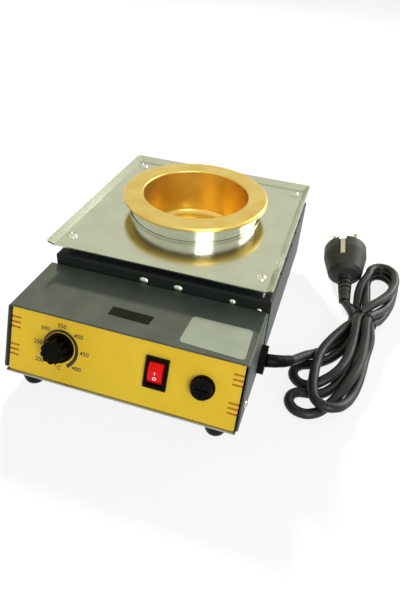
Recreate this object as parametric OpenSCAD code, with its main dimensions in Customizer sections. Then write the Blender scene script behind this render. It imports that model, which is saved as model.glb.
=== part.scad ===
// Electric solder pot: a round crucible in a heated steel shell, standing in a folded sheet housing,
// with a control box in front of it and a mains cord tied into a hank at its right side.
// X runs to the right, Y to the back and Z up, in millimetres. The origin is on the floor under the
// middle of the appliance, measured without the cord.

/* [Body sheet metal] */
// Thickness of every painted sheet
sheet_t = 1; // [0.8:0.1:1.5]
// Outside bend radius of the painted sheets
bend_r = 2; // [1.6:0.1:4]
// Gap kept between pieces that slide together on assembly
fit = 0.15; // [0.05:0.05:0.4]

/* [Front cover] */
// Width over the side walls
cover_w = 160; // [140:1:220]
// Height of the side walls
cover_h = 43; // [38:1:70]
// Depth of the side walls along the base
cover_d = 69.2; // [60:0.1:100]
// Lean of the front edges away from upright, in degrees
panel_slope = 21.5; // [0:0.5:35]
// Corner radius at the lower front of the side walls
cover_corner_r = 3; // [1:0.5:6]

/* [Front panel] */
// Distance of the panel face behind the front edges of the cover
panel_inset = 1.5; // [0.5:0.1:4]
// Width of the panel
panel_w = 155.2; // [130:0.2:215]
// Length of a ventilation slot, open at the side edge
vent_len = 6.5; // [4:0.5:12]
// Height of a ventilation slot
vent_h = 1.3; // [0.8:0.1:2.5]
// Distance between neighbouring slots
vent_pitch = 3.4; // [2.5:0.1:6]
// Height of the middle slot of the upper group, along the slope
vent_upper = 34.6; // [28:0.1:40]
// Height of the middle slot of the lower group, along the slope
vent_lower = 15.6; // [8:0.1:22]

/* [Knob] */
// Sideways place of the knob
knob_x = -42; // [-60:0.5:-20]
// Height of the knob along the slope
knob_s = 24.9; // [20:0.1:30]
// Diameter of the skirt
knob_skirt_d = 20; // [16:0.5:26]
// Diameter of the fluted grip
knob_grip_d = 15; // [10:0.5:20]
// Height of the knob over the panel
knob_h = 11.5; // [8:0.5:20]
// Number of flutes around the grip
knob_flutes = 10; // [6:1:24]

/* [Switch] */
// Sideways place of the rocker switch
switch_x = 24; // [10:0.5:35]
// Height of the switch along the slope
switch_s = 25.4; // [20:0.1:30]
// Width of the bezel
bezel_w = 15; // [13:0.1:20]
// Height of the bezel
bezel_h = 21; // [19:0.1:28]
// Thickness of the bezel
bezel_t = 1.8; // [1:0.1:3]
// Half of the rocker's swing, in degrees
rocker_tilt = 12; // [6:1:16]

/* [Fuse holder] */
// Sideways place of the fuse holder
fuse_x = 54.2; // [45:0.1:65]
// Height of the fuse holder along the slope
fuse_s = 24.5; // [20:0.1:30]
// Diameter of the flange on the panel
fuse_flange_d = 15.5; // [14:0.5:20]
// Diameter of the screw cap
fuse_cap_d = 14; // [12:0.5:18]

/* [Rear housing] */
// Width of the housing
housing_w = 156; // [130:1:200]
// Height of the housing
housing_h = 51; // [44:1:80]
// Depth of the housing
housing_d = 153.7; // [130:0.1:220]
// Gap between the front cover and the housing
housing_gap = 1.6; // [1.4:0.1:4]
// Sideways shift of the housing towards the right
housing_shift = 2.5; // [0:0.5:6]
// Width of the ventilation slots over the top bends
side_slot_w = 2; // [1:0.5:4]
// Distance between neighbouring slots over the top bends
side_slot_pitch = 20.5; // [12:0.5:30]

/* [Drip tray] */
// Width between the fold lines
tray_w = 151; // [130:1:190]
// Distance between the front edge and the rear fold line
tray_d = 158.5; // [140:0.5:200]
// Overhang of the front edge before the housing
tray_front = 0.8; // [0:0.1:5]
// Height of the spacers under the tray
spacer_h = 6.5; // [3:0.5:12]
// Width of the upturned flanges
flange_w = 5.8; // [3:0.1:12]
// Rise of the flanges, in degrees
flange_rise = 40; // [10:5:80]
// Flare of the side flanges at the front
flange_flare = 3; // [0:0.5:6]
// Thickness of the stainless sheet
tray_t = 1; // [0.8:0.1:2]

/* [Crucible] */
// Outside diameter of the rim
rim_d = 112; // [90:1:140]
// Diameter of the melt opening
bore_d = 81; // [60:1:100]
// Height of the rim over the floor
rim_z = 87.5; // [80:0.5:110]
// Depth of the crucible
bore_depth = 39; // [20:1:50]
// Wall thickness
wall_t = 2; // [1.5:0.1:4]
// Radius of the rounded lip at the opening
lip_r = 3; // [1:0.5:5]
// Radius at the foot of the inside wall
floor_r = 5; // [2:0.5:10]
// Drop of the outer edge of the rim
rim_drop = 3.2; // [2.2:0.1:6]
// Distance of the crucible's middle behind the front of the cover
crucible_y = 156.5; // [150:0.5:165]

/* [Heater] */
// Outside diameter of the polished shell
shell_d = 100; // [90:1:120]
// Wall thickness of the shell
shell_t = 1; // [0.8:0.1:2]
// Height of the lower edge of the shell over the floor
shell_foot = 18; // [16:1:30]
// Thickness of the band heater
band_t = 1.6; // [1:0.1:3]
// Height of the band heater
band_h = 26; // [15:1:28]

/* [Feet] */
// Height of the rubber feet
foot_h = 12; // [8:0.5:25]
// Diameter of a foot at the top
foot_d = 16; // [12:0.5:24]
// Diameter of a foot on the floor
foot_tip_d = 13.2; // [8:0.1:20]
// Distance of the feet from the side of the cover
foot_inset = 15.5; // [10:0.5:30]

/* [Cord] */
// Diameter of the mains cord
cord_d = 7; // [5:0.1:9]
// Diameter of the plug face
plug_d = 37; // [34:0.5:40]
// Distance between the plug pins
pin_pitch = 19; // [18:0.5:20]
// Length of the plug pins
pin_len = 19; // [18:0.5:20]

/* [Output] */
// Which sub-part to draw

/* [Hidden] */
$fn = 64;
eps = 0.01;
far = 400;
base_t = 1;
body_z = foot_h + base_t;
housing_y = cover_d + housing_gap;
housing_top = body_z + housing_h;
tray_y = housing_y - tray_front;
tray_z = housing_top + spacer_h;
tray_top = tray_z + tray_t;
tray_back = tray_y + tray_d;

// The appliance is drawn with Y from the front bottom edge of the cover, then moved to its middle
front_most = (knob_s - knob_grip_d / 2) * sin(panel_slope) - (knob_h - panel_inset) * cos(panel_slope);
rear_most = tray_back + flange_w * cos(flange_rise) + tray_t * sin(flange_rise);
y_org = (front_most + rear_most) / 2;

screw4_r = 2;
screw4_hole_r = 2.15;
screw4_head_r = 4;
screw4_head_h = 2.4;
nut4_af = 7;
nut4_h = 3.2;
screw3_r = 1.5;
screw3_hole_r = 1.65;
screw3_head_r = 2.6;
screw3_head_h = 1.5;
nut3_af = 5.5;
nut3_h = 2.4;

panel_low = 1;
panel_top_gap = 1;
panel_high = cover_h / cos(panel_slope) - panel_top_gap;
panel_corner_r = 1.5;
vent_count = 3;
panel_flange = 10;
panel_flange_w = 100;
panel_flange_y = 2.9;
seat_gap = 0.05;

tray_screw_x = 69.5;
tray_screw_front = 15;
tray_screw_back = 9.5;
tray_screw_len = 11;
spacer_r = 4;
tray_hole_gap = 0.4;
tray_hem = 1;
tray_hem_h = 1.2;
flange_corner_r = 4;
flange_mitre_gap = 0.5;

lip_z = rim_z - wall_t;
rim_flat_r = rim_d / 2 - 2.2;
rim_edge_r = 2.2;
bore_r = bore_d / 2;
body_r = bore_r + wall_t;
crucible_foot = rim_z - bore_depth - wall_t;
shell_r = shell_d / 2;
shell_in_r = shell_r - shell_t;
housing_hole_r = shell_r + 3;
band_z = rim_z - 8 - band_h;
band_gap = 0.2;
shell_plate_t = 1;
insulation_r = shell_in_r - 0.3;
insulation_in_r = body_r + band_gap + band_t + 0.6;
insulation_top = lip_z - 2;

side_screw_y = 19;
side_screw_z = 21;
base_flange_h = 12;
base_flange_front = 12;
rear_screw_x = 50;
rear_screw_z = 20;

dome_x = [-9, 16];
dome_z = 56.5;
dome_r = 3.5;
dome_h = 1.3;
dome_curve_r = 5.4;
earth_inset = 25.8;
earth_x = housing_w / 2 + housing_shift - earth_inset;
earth_z = 56.6;
wall_screw_inset = 7.3;
wall_screw_x = housing_w / 2 + housing_shift - wall_screw_inset;
wall_screw_z = 54.6;
corner_stud_inset = [6.7, 3.6];
corner_stud_at = [housing_w / 2 + housing_shift - corner_stud_inset[0], housing_y + corner_stud_inset[1]];
side_slot_mid = 77.2;
earth_screw_len = 9;
earth_head_h = 1.3;
wall_screw_len = 5;
wall_head_r = 2;
wall_head_h = 1;
sheet_screw_len = 6;
wall_bolt_len = 10;
wire_window = [30, 12];
wire_window_x = 20;
wire_window_z = 28;

terminal_size = [26, 9, 12];
terminal_z = 28;
terminal_gap = 4.3;
terminal_hole_x = 7;
terminal_hole_r = 2.5;
terminal_hole_d = 5;
terminal_leg = [8, 4];

probe_x = 3.5;
probe_z = crucible_foot + 3;
probe_r = 1.5;
probe_out = 10;
probe_collar_r = 2.6;
probe_collar_l = 6;
probe_tip_gap = 0.3;

stay_w = 36;
stay_z = 43.5;
stay_t = 1.2;

bracket_half = 62;
bracket_w = 24;
bracket_t = 1.5;
bracket_foot_len = 14;
bolt_inset = 7;
bracket_bolt_len = 9;

foot_front_y = 10.5;
foot_rear_inset = 13.5;
foot_back_inset = 10.5;
foot_bore_r = 4.5;
foot_bore_h = 4;
foot_screw_top = 20;

pot_r = 8.5;
pot_depth = 9.5;
pot_lug = [14, 8, 1.6];
pot_lug_y = 14;
bush_r = 3.5;
bush_h = 5.5;
pot_shaft_r = 3;
pot_shaft_in = 8;
running_gap = 0.05;
washer_r = 5.6;
washer_t = 0.5;
pot_nut_af = 10;
pot_nut_h = 2.2;
knob_lift = 0.5;
knob_skirt_h = 3;
knob_cavity_r = 6.8;
knob_cavity_h = 6;
knob_cap = 0.8;
knob_taper = 1.4;
flute_r = 1.5;
flute_out = 0.7;

switch_hole_w = 13;
switch_hole_h = 19.2;
switch_depth = 14;
rocker_w = 9.2;
rocker_open_w = 9.8;
rocker_open_h = 16.2;
rocker_open_d = 10;
pin_r = 1;
pin_reach = 1.2;
blade_w = 4.8;
blade_t = 0.8;
blade_l = 8;

fuse_barrel_r = 6;
fuse_depth = 30;
fuse_flange_h = 2;
fuse_cap_h = 3.6;
fuse_stem_r = 4;
fuse_stem_l = 6;
fuse_link_l = 20;
fuse_link_r = 2.6;
fuse_end_l = 5;
fuse_nut_af = 16;
fuse_nut_h = 2.5;
slot_w = 1.3;
slot_l = 8;
slot_d = 1.3;

board_x = -66;
board_y = 27;
board_w = 66;
board_l = 36;
board_t = 1.6;
post_h = 8;
post_r = 3;
post_inset = 4;
board_screw_len = 6;
sink_at = [-30, 40];
sink_size = [26, 12, 20];
sink_back = 2;
sink_fins = 5;
sink_fin_t = 1.2;
triac_size = [10, 4.5, 15];
triac_lift = 4;
triac_lead = [0.9, 0.7];
capacitor_at = [-62, 42];
capacitor_size = [18, 8, 13];
block_at = [6, 34];
block_size = [34, 14, 13];
block_poles = 4;
block_pitch = 8;
block_hole_r = 2.2;
block_hole_d = 5;
board_z = body_z + post_h;

relief_y = 58;
relief_z = 25;
relief_w = 12;
relief_h = 16;
relief_out = 4.5;
relief_neck_w = 10;
relief_neck_h = 13;
relief_in = 5;
relief_seam = 0.8;

plug_at = [122.5, 231, 21];
plug_tilt = 13;
plug_turn = 7.5;
plug_roll = -19;
plug_rim_l = 11;
plug_body_l = 33;
plug_shoulder_r = 13.5;
neck_l = 62;
neck_r = 6.2;
neck_end_r = 4.6;
neck_grooves = 5;
neck_groove_pitch = 4.6;
neck_groove_w = 2;
neck_groove_d = 1.5;
pin_dia = 4.8;
pin_root = 8;
earth_hole_d = 5;
earth_hole_l = 12;
clip_slot_w = 6.8;
clip_slot_l = 20;
clip = [4, 0.8, 18];

hank_z = 0.8;
hank_h = 20.4;
hank_front = [122, 61];
hank_front_r = 23;
hank_back = [158, 217];
hank_back_r = 16;
hank_left = [[106, 86], [121, 116], [135, 146], [139, 166], [141.5, 196]];
hank_right = [[173, 196], [168, 172], [157, 142], [155, 122], [151.5, 84]];
tie_at = [145.6, 144];
tie_turn = -17;
tie_w = 1.4;
tie_t = 0.8;
tie_span = 26;

lead_route = [[84.5, 58, 25], [91.5, 58.3, 24.4], [98, 63.5, 19.5], [104, 76, 10],
  [109.5, 89, 4.4], [114, 96.5, 3.6]];
tail_route = [[130.6, 171.1, 7], [133, 163.5, 7.5], [136.2, 155, 8.6], [138.6, 147.5, 9.5]];

function unit(v) = v / norm(v);
function blend(a, b, c, d, t) = 0.5 * (2 * b + (c - a) * t + (2 * a - 5 * b + 4 * c - d) * t * t
  + (3 * b - a - 3 * c + d) * t * t * t);
function route(p, n) = [for (i = [0 : len(p) - 2]) for (k = [0 : n - 1])
  blend(p[max(i - 1, 0)], p[i], p[i + 1], p[min(i + 2, len(p) - 1)], k / n), p[len(p) - 1]];
function arc(c, r, a, b, n) = [for (i = [0 : n]) let (t = a + (b - a) * i / n) c + r * [cos(t), sin(t)]];
function reversed(v) = [for (i = [len(v) - 1 : -1 : 0]) v[i]];

module sweep(p, r, sides) {
  m = len(p);
  rings = [for (i = [0 : m - 1])
    let (t = unit(p[min(i + 1, m - 1)] - p[max(i - 1, 0)]), s = unit(cross(t, [0, 0, 1])), u = cross(s, t))
    for (k = [0 : sides - 1]) p[i] + r * (cos(360 * k / sides) * s + sin(360 * k / sides) * u)];
  skin = [for (i = [0 : m - 2]) for (k = [0 : sides - 1])
    let (a = i * sides + k, b = i * sides + (k + 1) % sides)
    each [[a, b, b + sides], [a, b + sides, a + sides]]];
  first = [for (k = [sides - 1 : -1 : 0]) k];
  last = [for (k = [0 : sides - 1]) (m - 1) * sides + k];
  polyhedron(rings, concat(skin, [first, last]));
}

module bench() { translate([0, -y_org, 0]) children(); }
module panel_frame() {
  translate([0, 0, body_z]) rotate([90 - panel_slope, 0, 0]) translate([0, 0, -panel_inset]) children();
}
module at_crucible() { translate([0, crucible_y, 0]) children(); }
module along_y(y0, len) { translate([0, y0 + len, 0]) rotate([90, 0, 0]) linear_extrude(len) children(); }
module along_x(x0, len) { translate([x0, 0, 0]) rotate([90, 0, 90]) linear_extrude(len) children(); }
module y_rod(x, y, z, r, len) { translate([x, y, z]) rotate([-90, 0, 0]) cylinder(r = r, h = len); }
module x_rod(x, y, z, r, len) { translate([x, y, z]) rotate([0, 90, 0]) cylinder(r = r, h = len); }
module hex(af, h) { cylinder(d = af / cos(30), h = h, $fn = 6); }

// Outline standing on the base line, with rounded upper corners
module top_round(w, h, r) {
  translate([-w / 2, -1]) square([w, h - r + 1]);
  translate([-w / 2 + r, h - r]) square([w - 2 * r, r]);
  for (s = [-1, 1]) translate([s * (w / 2 - r), h - r]) circle(r);
}

module box_round(w, d, h, r) {
  intersection() {
    translate([0, -d / 2 - 1, 0]) along_y(0, d + 2) top_round(w, h, r);
    along_x(-w / 2 - 1, w + 2) top_round(d, h, r);
    translate([-w, -d, 0]) cube([2 * w, 2 * d, h + 1]);
  }
}

module pan_screw(r, len, head_r, head_h) {
  translate([0, 0, -len]) cylinder(r = r, h = len);
  difference() {
    rotate_extrude() intersection() {
      translate([0, -head_r * 1.1 + head_h]) circle(head_r * 1.1);
      square([head_r, head_h]);
    }
    for (a = [0, 90]) rotate(a) translate([-head_r * 0.55, -head_r * 0.12, head_h * 0.45])
      cube([head_r * 1.1, head_r * 0.24, head_h]);
  }
}

module cover_side() {
  corner = cover_corner_r / tan((90 - panel_slope) / 2);
  run = cover_h * tan(panel_slope);
  polygon([[corner, 0], [cover_d, 0], [cover_d, cover_h], [run, cover_h],
    [corner * sin(panel_slope), corner * cos(panel_slope)]]);
  translate([corner, cover_corner_r]) circle(cover_corner_r);
}

module front_cover() {
  color([0.32, 0.38, 0.36]) bench() difference() {
    intersection() {
      translate([0, 0, body_z]) along_y(-1, cover_d + 2) difference() {
        top_round(cover_w, cover_h, bend_r);
        translate([0, -1]) top_round(cover_w - 2 * sheet_t, cover_h - sheet_t + 1, bend_r - sheet_t);
      }
      translate([0, 0, body_z]) along_x(-cover_w, 2 * cover_w) cover_side();
    }
    x_rod(-cover_w, side_screw_y, side_screw_z, screw3_hole_r, 2 * cover_w);
    translate([0, relief_y - relief_neck_w / 2, relief_z - relief_neck_h / 2])
      cube([cover_w, relief_neck_w, relief_neck_h]);
  }
}

module panel_outline() {
  half = panel_w / 2;
  translate([-half, panel_low + panel_corner_r]) square([panel_w, panel_high - panel_low - panel_corner_r]);
  translate([-half + panel_corner_r, panel_low]) square([panel_w - 2 * panel_corner_r, panel_corner_r]);
  for (s = [-1, 1])
    translate([s * (half - panel_corner_r), panel_low + panel_corner_r]) circle(panel_corner_r);
}

module panel_vents() {
  for (s = [-1, 1]) for (mid = [vent_upper, vent_lower]) for (i = [-1 : vent_count - 2])
    translate([s * panel_w / 2 - vent_len, mid + i * vent_pitch - vent_h / 2]) square([2 * vent_len, vent_h]);
}

module front_panel() {
  color([0.86, 0.72, 0.2]) bench() {
    panel_frame() translate([0, 0, -sheet_t]) linear_extrude(sheet_t) difference() {
      panel_outline();
      panel_vents();
      translate([knob_x, knob_s]) circle(bush_r + fit);
      translate([switch_x - switch_hole_w / 2, switch_s - switch_hole_h / 2])
        square([switch_hole_w, switch_hole_h]);
      translate([fuse_x, fuse_s]) circle(fuse_barrel_r + fit);
    }
    translate([-panel_flange_w / 2, panel_flange_y, body_z + seat_gap])
      cube([panel_flange_w, panel_flange, sheet_t]);
  }
}

module base_pan() {
  half = cover_w / 2 - sheet_t - fit;
  rear_half = housing_w / 2 - sheet_t - fit;
  back = housing_y + housing_d - sheet_t - fit;
  color([0.6, 0.64, 0.62]) bench() difference() {
    union() {
      translate([-half, 0.4, foot_h]) cube([2 * half, housing_y + 2, base_t]);
      translate([housing_shift - rear_half, housing_y + 1, foot_h])
        cube([2 * rear_half, back - housing_y - 1, base_t]);
      for (s = [-1, 1]) translate([s * (half - sheet_t / 2) - sheet_t / 2, base_flange_front, foot_h])
        cube([sheet_t, cover_d - base_flange_front - 1, base_flange_h + base_t]);
      for (s = [-1, 1])
        translate([housing_shift + s * (rear_half - sheet_t / 2) - sheet_t / 2, housing_y + 6, foot_h])
          cube([sheet_t, housing_d - 14, base_flange_h + base_t]);
      translate([housing_shift - rear_half + 4, back - sheet_t, foot_h])
        cube([2 * rear_half - 8, sheet_t, base_flange_h + base_t]);
    }
    x_rod(-cover_w, side_screw_y, side_screw_z, screw3_hole_r, 2 * cover_w);
    translate([half - 5, relief_y - relief_w / 2 - 1, body_z + eps]) cube([10, relief_w + 2, far]);
    for (s = [-1, 1]) y_rod(housing_shift + s * rear_screw_x, back - 5, rear_screw_z, screw3_hole_r, 10);
    foot_places() translate([0, 0, -eps]) cylinder(r = screw4_hole_r, h = base_t + 1);
    bracket_bolt_places() translate([0, 0, foot_h - 1]) cylinder(r = screw4_hole_r, h = 3);
    board_post_places() translate([0, 0, foot_h - 1]) cylinder(r = screw3_hole_r, h = 3);
  }
}

module rear_housing() {
  color([0.3, 0.36, 0.34]) bench() difference() {
    translate([housing_shift, housing_y + housing_d / 2, body_z]) difference() {
      box_round(housing_w, housing_d, housing_h, bend_r);
      translate([0, 0, -1]) box_round(housing_w - 2 * sheet_t, housing_d - 2 * sheet_t,
        housing_h - sheet_t + 1, bend_r - sheet_t);
    }
    at_crucible() translate([0, 0, housing_top - 5]) cylinder(r = housing_hole_r, h = 10, $fn = 96);
    for (i = [-2 : 2]) for (s = [-1, 1])
      translate([housing_shift + s * housing_w / 2 - 8, side_slot_y(i) - side_slot_w / 2, housing_top - 3])
        cube([16, side_slot_w, 10]);
    tray_screw_places() translate([0, 0, housing_top - 3]) cylinder(r = screw4_hole_r, h = 5);
    for (x = dome_x) y_rod(x, housing_y - 1, dome_z, screw4_hole_r, 3);
    y_rod(earth_x, housing_y - 1, earth_z, screw3_hole_r, 3);
    y_rod(wall_screw_x, housing_y - 1, wall_screw_z, screw3_hole_r, 3);
    translate([wire_window_x - wire_window[0] / 2, housing_y - 1, wire_window_z - wire_window[1] / 2])
      cube([wire_window[0], 3, wire_window[1]]);
    for (s = [-1, 1])
      y_rod(housing_shift + s * rear_screw_x, housing_y + housing_d - 3, rear_screw_z, screw3_hole_r, 5);
    translate([corner_stud_at[0], corner_stud_at[1], housing_top - 3]) cylinder(r = screw3_hole_r, h = 5);
  }
}

function side_slot_y(i) = housing_y + side_slot_mid + i * side_slot_pitch;

module tray_screw_places() {
  for (x = [-tray_screw_x, tray_screw_x]) for (y = [tray_y + tray_screw_front, tray_back - tray_screw_back])
    translate([x, y, 0]) children();
}

module foot_places() {
  for (p = [foot_at(0), foot_at(1), foot_at(2), foot_at(3)]) translate([p[0], p[1], foot_h]) children();
}

// Feet 0 and 1 stand under the front cover, 2 and 3 under the housing
function foot_at(i) = let (side = i % 2 == 0 ? -1 : 1)
  i < 2 ? [side * (cover_w / 2 - foot_inset), foot_front_y]
  : [housing_shift + side * (housing_w / 2 - foot_rear_inset), housing_y + housing_d - foot_back_inset];

module bracket_bolt_places() {
  for (s = [-1, 1]) translate([s * (bracket_half - bolt_inset), crucible_y, 0]) children();
}

module board_post_places() {
  for (x = [board_x + post_inset, board_x + board_w - post_inset])
    for (y = [board_y + post_inset, board_y + board_l - post_inset]) translate([x, y, 0]) children();
}

// Sheet section of an upturned flange with its bend, growing along +X
module flange_section() {
  intersection() {
    circle(tray_t);
    polygon([[0, 0], [0, -2 * tray_t], [2 * tray_t * sin(flange_rise), -2 * tray_t * cos(flange_rise)]]);
  }
  rotate(flange_rise) translate([0, -tray_t]) square([flange_w, tray_t]);
}

module flange_plan(flare, back) {
  w = flange_w * cos(flange_rise) + tray_t;
  front = -flare;
  difference() {
    polygon([[0, 0], [w, front], [w, back + w - flange_mitre_gap], [0, back - flange_mitre_gap]]);
    translate([w - flange_corner_r, front - 1]) difference() {
      square([flange_corner_r + 1, flange_corner_r + 1]);
      translate([0, flange_corner_r + 1]) circle(flange_corner_r);
    }
  }
}

module side_flange() {
  intersection() {
    along_y(-2 * flange_flare - 2, tray_d + 20 + 2 * flange_flare) flange_section();
    translate([0, 0, -5]) linear_extrude(20) flange_plan(flange_flare, tray_d);
  }
}

module back_flange() {
  w = flange_w * cos(flange_rise) + tray_t;
  half = tray_w / 2 - flange_mitre_gap;
  intersection() {
    along_x(-tray_w, 2 * tray_w) flange_section();
    translate([0, 0, -5]) linear_extrude(20) polygon([[-half, 0], [half, 0], [half + w, w], [-half - w, w]]);
  }
}

module drip_tray() {
  color([0.75, 0.76, 0.7]) bench() {
    difference() {
      translate([-tray_w / 2, tray_y, tray_z]) cube([tray_w, tray_d, tray_t]);
      at_crucible() translate([0, 0, tray_z - 1]) cylinder(r = shell_r + tray_hole_gap, h = 5, $fn = 96);
      tray_screw_places() translate([0, 0, tray_z - 1]) cylinder(r = screw4_hole_r, h = 5);
    }
    at_crucible() translate([0, 0, tray_z]) rotate_extrude($fn = 96)
      translate([shell_r + tray_hole_gap, 0]) square([tray_hem, tray_t + tray_hem_h]);
    translate([tray_w / 2, tray_y, tray_top]) side_flange();
    translate([-tray_w / 2, tray_y, tray_top]) mirror([1, 0, 0]) side_flange();
    translate([0, tray_back, tray_top]) back_flange();
  }
}

module tray_spacers() {
  color([0.8, 0.8, 0.8]) bench() tray_screw_places() translate([0, 0, housing_top]) difference() {
    cylinder(r = spacer_r, h = spacer_h, $fn = 32);
    translate([0, 0, -1]) cylinder(r = screw4_hole_r, h = spacer_h + 2, $fn = 32);
  }
}

module tray_screws() {
  color([0.85, 0.85, 0.82]) bench() tray_screw_places() translate([0, 0, tray_top]) rotate(25)
    pan_screw(screw4_r, tray_screw_len + tray_t, screw4_head_r, screw4_head_h, $fn = 32);
}

module tray_nuts() {
  color([0.7, 0.7, 0.7]) bench() tray_screw_places() translate([0, 0, housing_top - sheet_t - nut4_h])
    rotate(30) nut(nut4_af, nut4_h, screw4_hole_r);
}

module nut(af, h, hole_r) {
  difference() {
    hex(af, h);
    translate([0, 0, -1]) cylinder(r = hole_r, h = h + 2, $fn = 24);
  }
}

module corner_stud() {
  color([0.85, 0.85, 0.82]) bench() translate([corner_stud_at[0], corner_stud_at[1], housing_top - 4])
    cylinder(r = screw3_r, h = spacer_h + 4, $fn = 24);
}

module crucible() {
  color([0.8, 0.62, 0.15]) bench() at_crucible() rotate_extrude($fn = 96) difference() {
    union() {
      translate([0, crucible_foot]) square([body_r - floor_r, wall_t + 1]);
      translate([body_r - floor_r - 1, crucible_foot]) square([1 + eps, wall_t + floor_r]);
      translate([body_r - floor_r, crucible_foot + floor_r]) circle(floor_r);
      translate([bore_r - floor_r, crucible_foot + floor_r])
        square([wall_t + floor_r, rim_z - crucible_foot - floor_r]);
      translate([body_r, lip_z]) square([rim_flat_r - body_r, wall_t]);
      translate([rim_flat_r, rim_z - rim_edge_r]) circle(rim_edge_r);
      translate([rim_flat_r, rim_z - rim_drop]) square([rim_edge_r, rim_drop - rim_edge_r]);
    }
    translate([-1, rim_z - bore_depth]) square([bore_r - floor_r + 2, far]);
    translate([0, rim_z - bore_depth + floor_r]) square([bore_r, far]);
    translate([bore_r - floor_r, rim_z - bore_depth + floor_r]) circle(floor_r);
    translate([bore_r - 1, rim_z - lip_r * 0.6]) difference() {
      square([lip_r * 0.6 + 1, lip_r]);
      translate([1 + lip_r * 0.6, 0]) circle(lip_r * 0.6);
    }
    translate([rim_flat_r - rim_edge_r - 1, rim_z - rim_drop - rim_edge_r])
      square([rim_edge_r + 2, rim_drop + rim_edge_r - wall_t]);
  }
}

module heater_shell() {
  color([0.82, 0.83, 0.82]) bench() at_crucible() difference() {
    rotate_extrude($fn = 96) translate([shell_in_r, shell_foot]) square([shell_t, lip_z - shell_foot]);
    y_rod(probe_x, -shell_r - 5, probe_z, probe_r + 0.5, 20);
  }
}

module band_heater() {
  color([0.55, 0.5, 0.42]) bench() at_crucible() translate([0, 0, band_z]) rotate_extrude($fn = 96)
    translate([body_r + band_gap, 0]) square([band_t, band_h]);
}

module insulation_ring() {
  color([0.9, 0.89, 0.85]) bench() at_crucible() difference() {
    rotate_extrude($fn = 96) translate([insulation_in_r, crucible_foot])
      square([insulation_r - insulation_in_r, insulation_top - crucible_foot]);
    y_rod(probe_x, -shell_r - 5, probe_z, probe_r + 0.5, 20);
  }
}

module insulation_disc() {
  color([0.9, 0.89, 0.85]) bench() at_crucible() translate([0, 0, shell_foot + shell_plate_t])
    cylinder(r = insulation_r, h = crucible_foot - shell_foot - shell_plate_t, $fn = 96);
}

module shell_floor() {
  color([0.7, 0.7, 0.7]) bench() at_crucible() translate([0, 0, shell_foot])
    cylinder(r = insulation_r, h = shell_plate_t, $fn = 96);
}

module heater_bracket() {
  top = shell_foot;
  leg_x = bracket_half - bracket_foot_len;
  color([0.6, 0.62, 0.62]) bench() difference() {
    translate([0, crucible_y - bracket_w / 2, 0]) along_y(0, bracket_w) union() {
      translate([-leg_x, top - bracket_t]) square([2 * leg_x, bracket_t]);
      for (s = [-1, 1]) {
        translate([s * leg_x - bracket_t / 2, body_z]) square([bracket_t, top - body_z]);
        translate([s * (leg_x + bracket_foot_len / 2) - bracket_foot_len / 2, body_z])
          square([bracket_foot_len, bracket_t]);
      }
    }
    bracket_bolt_places() translate([0, 0, body_z - 1]) cylinder(r = screw4_hole_r, h = bracket_t + 2);
  }
}

module bracket_bolts() {
  color([0.8, 0.8, 0.8]) bench() bracket_bolt_places() translate([0, 0, foot_h]) rotate([180, 0, 0])
    pan_screw(screw4_r, bracket_bolt_len, screw4_head_r, screw4_head_h, $fn = 32);
}

module bracket_nuts() {
  color([0.7, 0.7, 0.7]) bench() bracket_bolt_places() translate([0, 0, body_z + bracket_t])
    nut(nut4_af, nut4_h, screw4_hole_r);
}

module shell_stay() {
  back = crucible_y - shell_r;
  mid = (dome_x[0] + dome_x[1]) / 2;
  color([0.6, 0.62, 0.62]) bench() difference() {
    union() {
      translate([mid - stay_w / 2, housing_y + sheet_t, stay_z]) cube([stay_w, stay_t, dome_z + 5 - stay_z]);
      translate([mid - stay_w / 2, housing_y + sheet_t, stay_z]) cube([stay_w, back - housing_y + 4, stay_t]);
    }
    for (x = dome_x) y_rod(x, housing_y, dome_z, screw4_hole_r, 5);
    at_crucible() translate([0, 0, stay_z - 1]) cylinder(r = shell_r + 0.2, h = 20, $fn = 96);
  }
}

module wall_bolts() {
  color([0.85, 0.85, 0.85]) bench() for (x = dome_x) translate([x, housing_y, dome_z]) rotate([90, 0, 0]) {
    rotate_extrude($fn = 48) intersection() {
      translate([0, dome_h - dome_curve_r]) circle(dome_curve_r);
      square([dome_r, dome_h]);
    }
    translate([0, 0, -wall_bolt_len]) cylinder(r = screw4_r, h = wall_bolt_len, $fn = 32);
  }
}

module wall_nuts() {
  color([0.7, 0.7, 0.7]) bench() for (x = dome_x) translate([x, housing_y + sheet_t + stay_t, dome_z])
    rotate([-90, 0, 0]) nut(nut4_af, nut4_h, screw4_hole_r);
}

module earth_screw() {
  color([0.8, 0.8, 0.75]) bench() {
    translate([earth_x, housing_y, earth_z]) rotate([90, 0, 0])
      pan_screw(screw3_r, earth_screw_len, screw3_head_r, earth_head_h, $fn = 32);
    translate([earth_x, housing_y + sheet_t, earth_z]) rotate([-90, 0, 0])
      nut(nut3_af, nut3_h, screw3_r + fit);
  }
}

module wall_screw() {
  color([0.75, 0.75, 0.7]) bench() translate([wall_screw_x, housing_y, wall_screw_z]) rotate([90, 0, 0])
    pan_screw(screw3_r, wall_screw_len, wall_head_r, wall_head_h, $fn = 32);
}

module heater_terminal() {
  front = crucible_y - shell_r - terminal_gap - terminal_size[1];
  mid = front + terminal_size[1] / 2 - 0.5;
  top = terminal_z + terminal_size[2];
  color([0.9, 0.88, 0.82]) bench() {
    difference() {
      translate([wire_window_x - terminal_size[0] / 2, front, terminal_z]) cube(terminal_size);
      for (s = [-1, 1]) translate([wire_window_x + s * terminal_hole_x, mid, top - terminal_hole_d])
        cylinder(r = terminal_hole_r, h = terminal_hole_d + 1, $fn = 24);
    }
    translate([wire_window_x - terminal_leg[0] / 2, mid - terminal_leg[1] / 2, body_z])
      cube([terminal_leg[0], terminal_leg[1], terminal_z - body_z]);
  }
}

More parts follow.
